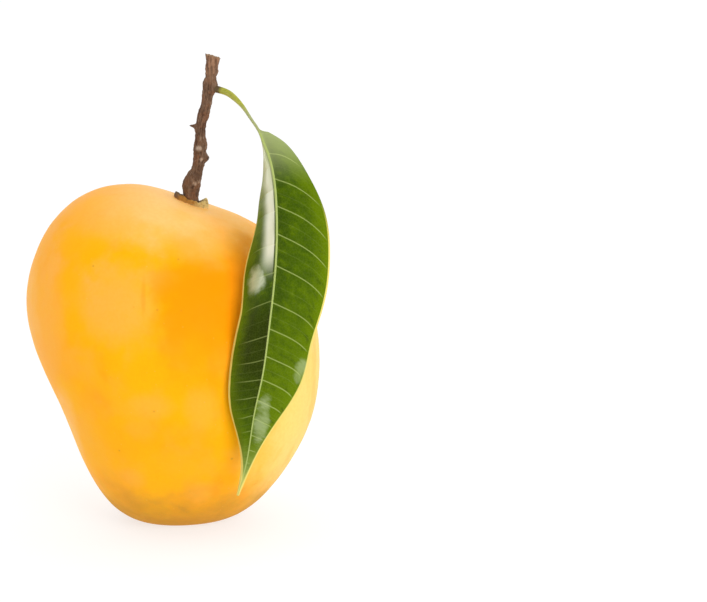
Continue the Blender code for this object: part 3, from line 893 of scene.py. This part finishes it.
def bark_coat(settings):
    """Brown fibrous bark, greyed on the raised parts and dark in the cracks, over a golden collar.

    The dark in the cracks is partly painted shade.
    """
    coat = Coat("mango_bark")
    x, z = coat.axis("X"), coat.axis("Z")
    relief = coat.measure("bark_relief")
    collar = coat.measure("collar")
    cut = coat.measure("cut")
    fibres = coat.clouds(0.00035, 4.0, coat.stretched((1.0, 1.0, 0.09)), roughness=0.65)
    streaks = coat.clouds(0.0011, 3.0, coat.stretched((1.0, 1.0, 0.16)), shift=0.4)
    patches = coat.clouds(0.0032, 3.0, shift=0.7)
    grain = coat.clouds(0.00022, 3.0, shift=0.2)

    tone = coat.blend(coat.ease(fibres, 0.38, 0.70), settings.bark, settings.weathered)
    tone = coat.blend(coat.ease(patches, 0.48, 0.66) * 0.65, tone, settings.ruddy)
    tone = coat.blend(coat.ease(patches, 0.46, 0.36) * 0.4, tone, settings.dark)
    tone = coat.blend(coat.ease(streaks, 0.52, 0.7) * 0.45, tone, settings.weathered)
    tone = coat.blend(coat.ease(relief + 0.16 * fibres, 0.26, 0.46) * 0.5, tone, settings.raised)
    # Darker in the cracks: partly the cracks' own dark bark, partly painted shade in them.
    tone = coat.blend(coat.ease(relief - 0.1 * fibres, -0.06, -0.30) * 0.6, tone, settings.crevice)
    near_cut = coat.ease(z, 133.0, 141.0) * coat.ease(streaks, 0.3, 0.6)
    tone = coat.blend(near_cut * 0.6, tone, settings.young)
    for place, reach, paint in STEM_MARKS:
        away = coat.distance_from(place)
        mark = coat.ease(away + 1.2 * fibres, reach + 0.9, reach + 0.2)
        tone = coat.blend(mark * 0.7, tone, getattr(settings, paint))

    husk = coat.clouds(0.0009, 4.0, shift=0.55, roughness=0.65)
    cushion = coat.blend(coat.ease(husk + 0.07 * (x - 4.0), 0.42, 0.78), settings.collar, settings.sepal)
    cushion = coat.blend(coat.ease(husk, 0.52, 0.62) * 0.6, cushion, settings.collar_spot)
    dried = coat.blend(coat.ease(husk, 0.35, 0.62), settings.charred, settings.flake)
    high_side = coat.ease(x + 2 * husk, 2.4, 0.6) * coat.ease(collar + 0.3 * husk, 0.50, 0.62)
    top = coat.ease(collar + 0.5 * husk, 0.95, 1.15)
    cushion = coat.blend(coat.maths("MAXIMUM", high_side, top), cushion, dried)
    cushion = coat.blend(coat.ease(collar + 0.25 * husk, 0.50, 0.34), cushion, settings.skin)
    tone = coat.blend(coat.ease(collar, 1.8, 1.05), tone, cushion)

    wood = coat.blend(coat.ease(grain, 0.35, 0.65), settings.wood, settings.end_grain)
    tone = coat.blend(cut, tone, wood)
    coat.relief(0.05 * fibres + 0.02 * grain + 0.03 * husk)
    coat.feed(Base_Color=tone, Roughness=0.7 + 0.2 * grain, Specular_IOR_Level=0.35)
    return coat


class MakeStem(bpy.types.Operator):
    """Make the woody stem with its dried collar"""

    bl_idname = "mango.make_stem"
    bl_label = "Stem"

    def execute(self, context):
        settings = context.scene.mango_stem
        add_piece("mango_stem", stem_mesh(settings), bark_coat(settings), "stem")
        return {"FINISHED"}


def vein_places(along, distance, width, starts, slant):
    """For each point of half a blade: the number of the vein it is by, and the gap between veins there."""
    share = distance / width
    steady, more, arch = slant
    start = along - (steady + more * soft_step(along, *LEAN_GROWS) + arch * share**3) * distance
    number = spline(starts, np.arange(len(starts)))
    gap = 1.0 / np.maximum(number(start + 0.5) - number(start - 0.5), 0.05)
    return number(start), gap


def half_blade(along, width, droop, side, bulge, waves, starts, slant):
    """One half of the blade's middle surface, as belts from the base and columns from the rib out.

    Gives each point's distance from rib and margin, its place, the way its face looks, and its veins.
    """
    full = np.minimum(1.0, width / FULL_HALF_WIDTH)
    share = np.linspace(0.0, 1.0, HALF_COLUMNS + 1)[None, 1:] ** COLUMN_CROWDING
    distance = width * share
    count, phase = waves
    wave = EDGE_WAVE * np.sin(math.tau * count * np.maximum(0.0, along) / along.max() + phase)
    slope = np.radians(droop)
    out = full * (bulge * np.sin(math.pi * share) + wave * share**2) - distance * np.sin(slope)
    spot = np.stack([along + 0 * distance, side * distance, 0 * distance], axis=-1)
    out = out + full * unevenness(spot, BLADE_LUMPS) * soft_step(distance, 0.0, LUMPS_FROM_RIB)
    turned = np.minimum(1.0, distance / (2 * RIB_HALF_WIDTH))
    facing = unit(np.stack([turned * side * np.sin(slope), 1 - turned + turned * np.cos(slope)], axis=-1))
    number, gap = vein_places(along, distance, width, starts, slant)
    return {
        "distance": distance, "x": side * distance * np.cos(slope), "out": out, "facing": facing,
        "edge": width - distance, "number": number, "gap": gap,
    }


def vein_form(number, gap):
    """How close each point is to a vein, and how far the blade swells between veins."""
    away = np.abs((number + 0.5) % 1.0 - 0.5)
    close = np.exp(-((away * gap / VEIN_REACH) ** 2))
    return close, np.sin(math.pi * away) ** 2


def leaf_mesh():
    """The leaf: stalk, rib and a quilted blade that droops on both sides of the rib."""
    line = np.array([*STALK_LINE, *[station[:3] for station in BLADE]])
    run = np.concatenate([[0.0], np.cumsum(np.linalg.norm(np.diff(line, axis=0), axis=1))])
    stalk_run, blade_run = run[: len(STALK_LINE)], run[len(STALK_LINE) :]
    base, tip = blade_run[0], blade_run[-1]
    stalk_steps = np.linspace(-STALK_SINK, base, STALK_BELTS, endpoint=False)
    at = np.concatenate([stalk_steps, np.linspace(base, tip, BLADE_BELTS)])
    along = (at - base)[:, None]
    centre_line = spline(run, line)
    centre = centre_line(at)[:, None, :]
    ahead = unit(centre_line(at + 0.2) - centre_line(at - 0.2))[:, None, :]
    front = np.array([0.0, -1.0, 0.0])
    normal = unit(front - ahead * (ahead @ front)[..., None])
    across = np.cross(normal, ahead)
    widths_and_droops = spline(blade_run, [station[3:] for station in BLADE])(np.maximum(at, base))
    left_width, right_width, left_droop, right_droop = (column[:, None] for column in widths_and_droops.T)
    halves = []
    for width, *form in (
        (left_width, left_droop, -1, LEFT_BULGE, LEFT_WAVES, LEFT_VEINS, LEFT_LEAN),
        (right_width, right_droop, 1, RIGHT_BULGE, RIGHT_WAVES, RIGHT_VEINS, RIGHT_LEAN),
    ):
        halves.append(half_blade(along, np.maximum(width, LEAST_HALF_WIDTH), *form))
    left, right = halves

    def whole(key, middle):
        """A quantity across the leaf: the left half from its margin, the rib, then the right half."""
        return np.concatenate([left[key][:, ::-1], middle, right[key]], axis=1)

    none = np.zeros_like(along)
    distance = whole("distance", none)
    edge = whole("edge", np.maximum(left_width, LEAST_HALF_WIDTH))
    number = whole("number", (left["number"][:, :1] + right["number"][:, :1]) / 2)
    gap = whole("gap", right["gap"][:, :1])
    place_x, place_out = whole("x", none), whole("out", none)
    facing = whole("facing", np.stack([none, none + 1], axis=-1))
    columns = distance.shape[1]
    angle = math.pi * (1 - (np.arange(columns) + 0.5) / columns)[None, :]
    flatness = np.minimum(1.0, np.maximum(0.0, along / (tip - base)) / STALK_FLATTENS)
    stalk = spline(stalk_run, STALK_RADII)(np.minimum(np.maximum(at, 0.0), stalk_run[-1]))[:, None]
    rib = flatness * np.exp(-((distance / RIB_HALF_WIDTH) ** 2))
    close, swell = vein_form(number, gap)
    veined = soft_step(distance, *VEINS_FROM_RIB) * soft_step(edge, *VEINS_FROM_MARGIN)
    veined = veined * soft_step(edge + distance, *VEINS_BY_WIDTH)
    half = BLADE_THICKNESS / 2 * (1 - MARGIN_THINNING * soft_step(edge, MARGIN_TAPER, 0.0))
    faces = []
    for sign, height, vein_height in ((1, RIB_RISE, -VEIN_GROOVE), (-1, RIB_DEPTH, VEIN_RIDGE)):
        thick = half + rib * height + veined * (close * vein_height + sign * QUILTING * swell)
        flat_x = place_x + facing[..., 0] * sign * thick
        flat_out = place_out + facing[..., 1] * sign * thick
        rod_x, rod_out = stalk * np.cos(angle), stalk * sign * np.sin(angle)
        spot_x = rod_x + (flat_x - rod_x) * flatness
        spot_out = rod_out + (flat_out - rod_out) * flatness
        face = centre + across * spot_x[..., None] + normal * spot_out[..., None]
        faces.append(face if sign > 0 else face[:, ::-1])
    rings = np.concatenate(faces, axis=1)

    def both(values):
        return np.concatenate([values, values[:, ::-1]], axis=1)

    upper = np.concatenate([np.ones_like(distance), np.zeros_like(distance)], axis=1)
    side = np.sign(place_x)
    measures = {
        "along": both(along + 0 * distance), "from_rib": both(distance), "from_edge": both(edge),
        "vein_number": both(number), "vein_gap": both(gap), "upper": upper, "half": both(side),
        "flatness": both(flatness + 0 * distance),
    }
    return closed_mesh("mango_leaf", rings, measures)


def leaf_coat(settings):
    """Glossy green blade with a pale rib, veins, net and margin line, and a paler dull lower face.

    The upper face has a painted highlight, painted sheen and painted shade.
    """
    coat = Coat("mango_leaf")
    along, from_rib = coat.measure("along"), coat.measure("from_rib")
    from_edge, half = coat.measure("from_edge"), coat.measure("half")
    upper, flatness = coat.measure("upper"), coat.measure("flatness")
    number, gap = coat.measure("vein_number"), coat.measure("vein_gap")
    upper = coat.ease(upper, 0.4, 0.6)

    away = coat.maths("ABSOLUTE", coat.maths("FRACT", number + 0.5) - 0.5)
    half_vein = settings.vein_width / MM / 2
    main = coat.ease(away * gap, 1.6 * half_vein, 0.6 * half_vein)
    minor = coat.ease((0.5 - away) * gap, 1.2 * half_vein, 0.3 * half_vein)
    fading = coat.ease(from_edge, 0.3, 2.2)
    spread = coat.node("ShaderNodeCombineXYZ", {}, {0: along, 1: from_rib * half, 2: upper * 50.0})
    net = coat.cells(settings.net_size / MM, "DISTANCE_TO_EDGE", spread)
    net_line = coat.ease(net, 0.12, 0.02)
    clouds = coat.clouds(0.006, 4.0, shift=0.21)
    small = coat.clouds(0.0012, 4.0, shift=0.57)

    def shine(distance, form, ragged):
        """A ragged oval patch of painted highlight and sheen, at a distance from the rib or the margin."""
        middle, half_width, place, half_length = form
        return coat.oval((distance - middle) / half_width, (along - place) / half_length, ragged)

    tone = coat.blend(coat.ease(from_rib + 4 * clouds, 8.0, 1.0), settings.green, settings.deep)
    tone = coat.blend(coat.ease(from_edge - 3 * clouds, 4.5, -1.0), tone, settings.bright)
    tone = coat.blend(coat.ease(small, 0.35, 0.7) * 0.2, tone, settings.bright)
    vein_way = coat.node("ShaderNodeCombineXYZ", {}, {0: 3.4 * number, 1: 0.3 * from_rib, 2: 7.0 * half})
    wrinkles = coat.clouds(1.0, 8.0, vein_way, roughness=0.65)
    left = coat.ease(half, 0.2, -0.2)
    tone = coat.blend(coat.ease(along, 40.0, 80.0) * 0.6 * (1 - left), tone, settings.bright)
    tone = coat.blend(coat.ease(along, 76.0, 96.0) * 0.4 * left, tone, settings.bright)
    # Lighter on the crinkles' crests and darker in their hollows: painted light and shade of the crinkles.
    tone = coat.blend(coat.ease(wrinkles, 0.48, 0.70) * 0.6, tone, settings.bright)
    tone = coat.blend(coat.ease(wrinkles, 0.50, 0.30) * 0.6, tone, settings.deep)
    shaded = left * coat.ease(along + 8 * clouds, 52.0, 64.0) * coat.ease(along + 8 * clouds, 98.0, 74.0)
    tone = coat.blend(shaded * coat.ease(from_rib + 4 * clouds, 13.0, 8.0) * 0.8, tone, settings.shaded)
    tone = coat.blend(net_line * 0.04, tone, settings.rib)
    tone = coat.blend(minor * fading * 0.06, tone, settings.rib)
    fading = fading * coat.ease(from_edge * left, 1.0, 7.0) * left + fading * (1 - left)
    tone = coat.blend(main * fading * (0.5 - 0.2 * left), tone, settings.rib)
    lower = coat.blend(net_line * 0.3, settings.under, settings.rib)
    lower = coat.blend(main * 0.6, lower, settings.rib)
    # Painted highlight on the left half beside the rib: a streak with a blob below it, which also gets a
    # heavier wax coat.
    highlight_streak = coat.ease(from_rib + 2 * clouds, 10.0, 4.4) * coat.ease(along, 47.0, 37.0)
    highlight_blob = 0.95 * shine(from_rib, HIGHLIGHT_BLOB, 3.0 * clouds + 3.0 * wrinkles - 3.0)
    painted_highlight = left * coat.ease(from_rib, 0.6, 1.1) * coat.maths("MAXIMUM", highlight_streak, highlight_blob)
    ragged = 3.0 * clouds + 5.0 * wrinkles - 4.0
    rib_sheen = shine(from_rib, RIB_SHEEN, ragged)
    edge_sheen = 0.8 * shine(from_edge, EDGE_SHEEN, ragged)
    gloss = (1 - left) * coat.maths("MAXIMUM", rib_sheen, edge_sheen)
    tone = coat.blend(painted_highlight * 0.7, tone, coat.blend(highlight_streak, settings.highlight_blob, settings.highlight_streak))
    tone = coat.blend(gloss * 0.6, tone, settings.sheen)
    tone = coat.blend(upper, lower, tone)
    # Paler near the stalk: painted sheen.
    tone = coat.blend(coat.ease(along - 8 * left, 20.0, 2.0) * 0.65, tone, settings.base_sheen)
    tone = coat.blend(coat.ease(along + 6 * wrinkles, 97.0, 114.0) * 0.5, tone, settings.rib)
    tone = coat.blend(coat.ease(along, 105.0, 114.0) * 0.8, tone, settings.margin)
    edge_line = coat.ease(from_edge * (1 - 0.4 * left), 0.60, 0.34) * coat.ease(along, 22.0, 38.0)
    tone = coat.blend(edge_line, tone, settings.margin)
    tone = coat.blend(coat.ease(from_rib + 0.0024 * along, 0.48, 0.24), tone, settings.rib)
    stalk = coat.blend(coat.ease(small, 0.4, 0.7), settings.stalk, settings.stalk_spot)
    stalk = coat.blend(coat.ease(along, -13.0, -6.0) * 0.7, stalk, settings.stalk_end)
    stalk = coat.blend(coat.ease(along + 2 * small, -23.0, -25.0), stalk, settings.stalk_foot)
    tone = coat.blend(flatness, stalk, tone)

    coat.relief(0.010 * small + 0.10 * wrinkles - 0.01 * net_line - 0.03 * main)
    wax = upper * (painted_highlight * (0.3 + 0.45 * coat.ease(along, 12.0, 40.0)) + 0.4 * gloss) * flatness
    coat.feed(
        Base_Color=tone, Roughness=0.55 - 0.15 * upper + 0.12 * small, Specular_IOR_Level=0.03,
        Coat_Weight=wax, Coat_Roughness=0.3,
    )
    return coat


class MakeLeaf(bpy.types.Operator):
    """Make the leaf with its stalk, rib and veins"""

    bl_idname = "mango.make_leaf"
    bl_label = "Leaf"

    def execute(self, context):
        add_piece("mango_leaf", leaf_mesh(), leaf_coat(context.scene.mango_leaf), "leaf")
        return {"FINISHED"}


def add_light(name, place, target, size, power, glossy):
    """A soft rectangular light that makes only reflections if glossy, and otherwise only plain light."""
    lamp = bpy.data.lights.new(name, "AREA")
    lamp.shape = "RECTANGLE"
    lamp.size, lamp.size_y = size
    lamp.energy = power
    light = bpy.data.objects.new(name, lamp)
    bpy.context.scene.collection.objects.link(light)
    light.location = place
    light.rotation_euler = (Vector(target) - Vector(place)).to_track_quat("-Z", "Y").to_euler()
    light.visible_camera = False
    light.visible_glossy = glossy
    light.visible_diffuse = not glossy
    return light


def limit_light(light, piece):
    """Lets a light fall on one piece alone."""
    lit = bpy.data.collections.new(light.name + "_falls_on")
    lit.objects.link(piece)
    light.light_linking.receiver_collection = lit


def add_camera():
    """The camera at the photograph's place, looking a little down on the fruit."""
    data = bpy.data.cameras.new("camera")
    data.lens = CAMERA_LENS
    data.sensor_width = CAMERA_SENSOR
    data.sensor_fit = "HORIZONTAL"
    camera = bpy.data.objects.new("camera", data)
    bpy.context.scene.collection.objects.link(camera)
    tilt = math.radians(CAMERA_ELEVATION)
    away = Vector((0.0, -math.cos(tilt), math.sin(tilt)))
    camera.location = Vector(CAMERA_TARGET) + CAMERA_DISTANCE * away
    camera.rotation_euler = (math.pi / 2 - tilt, 0.0, 0.0)
    bpy.context.scene.camera = camera


def add_floor(settings):
    """A plain pale floor that reaches out of every view."""
    coat = Coat("studio_floor")
    tone = coat.clouds(0.25, 2.0)
    grey = tuple(0.985 * channel for channel in settings.floor)
    coat.feed(
        Base_Color=coat.blend(tone, grey, tuple(settings.floor)), Roughness=0.9, Specular_IOR_Level=0.1,
        Emission_Color=(1.0, 1.0, 1.0), Emission_Strength=settings.glow,
    )
    reach = settings.floor_size / 2
    mesh = bpy.data.meshes.new("studio_floor")
    corners = [(-reach, -reach, 0), (reach, -reach, 0), (reach, reach, 0), (-reach, reach, 0)]
    mesh.from_pydata(corners, [], [(0, 1, 2, 3)])
    mesh.materials.append(coat.material)
    floor = bpy.data.objects.new("studio_floor", mesh)
    bpy.context.scene.collection.objects.link(floor)


def light_room(world, settings):
    """White surroundings, dimmer low down on the side that the camera stands on."""
    room = Nodes(world.node_tree)
    way = room.node("ShaderNodeTexCoord", output="Generated")
    fades = []
    for axis, limits in (("Y", BACK_BRIGHTENS), ("Z", CEILING_BRIGHTENS)):
        fades.append(room.ease(room.node("ShaderNodeSeparateXYZ", {}, {0: way}, axis), *limits))
    gain = (settings.brightness - settings.dimness) * room.maths("MAXIMUM", *fades)
    background = room.tree.nodes["Background"]
    room.put(background.inputs["Strength"], settings.dimness + gain)
    room.put(background.inputs["Color"], settings.surroundings)


class MakeStage(bpy.types.Operator):
    """Make the floor, the surroundings, the lights and the camera"""

    bl_idname = "mango.make_stage"
    bl_label = "Stage"

    def execute(self, context):
        settings = context.scene.mango_stage
        add_floor(settings)
        world = bpy.data.worlds.new("studio")
        world.use_nodes = True
        light_room(world, settings)
        context.scene.world = world
        context.scene.view_settings.view_transform = "Standard"
        add_light("key", *KEY_LIGHT, glossy=False)
        limit_light(add_light("fill", *FILL_LIGHT, glossy=False), bpy.data.objects["mango_fruit"])
        limit_light(add_light("strip", *STRIP_LIGHT, glossy=True), bpy.data.objects["mango_leaf"])
        add_camera()
        return {"FINISHED"}


class MangoPanel(bpy.types.Panel):
    """Buttons and settings of the mango"""

    bl_idname = "VIEW3D_PT_mango"
    bl_label = "Mango"
    bl_space_type = "VIEW_3D"
    bl_region_type = "UI"
    bl_category = "Mango"

    def draw(self, context):
        for operator, group in PIECES:
            settings = getattr(context.scene, group)
            self.layout.operator(operator.bl_idname)
            for name in settings.__annotations__:
                self.layout.prop(settings, name)


PIECES = [
    (MakeFruit, "mango_fruit"),
    (MakeStem, "mango_stem"),
    (MakeLeaf, "mango_leaf"),
    (MakeStage, "mango_stage"),
]
GROUPS = [FruitSettings, StemSettings, LeafSettings, StageSettings]
CLASSES = [*GROUPS, MakeFruit, MakeStem, MakeLeaf, MakeStage, MangoPanel]


def register():
    for made in CLASSES:
        bpy.utils.register_class(made)
    for (_, name), group in zip(PIECES, GROUPS):
        setattr(bpy.types.Scene, name, bpy.props.PointerProperty(type=group))


def unregister():
    for _, name in PIECES:
        delattr(bpy.types.Scene, name)
    for made in reversed(CLASSES):
        bpy.utils.unregister_class(made)


def main():
    register()
    bpy.ops.mango.make_fruit()
    bpy.ops.mango.make_stem()
    bpy.ops.mango.make_leaf()
    bpy.ops.mango.make_stage()
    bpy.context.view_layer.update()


if __name__ == "__main__":
    main()
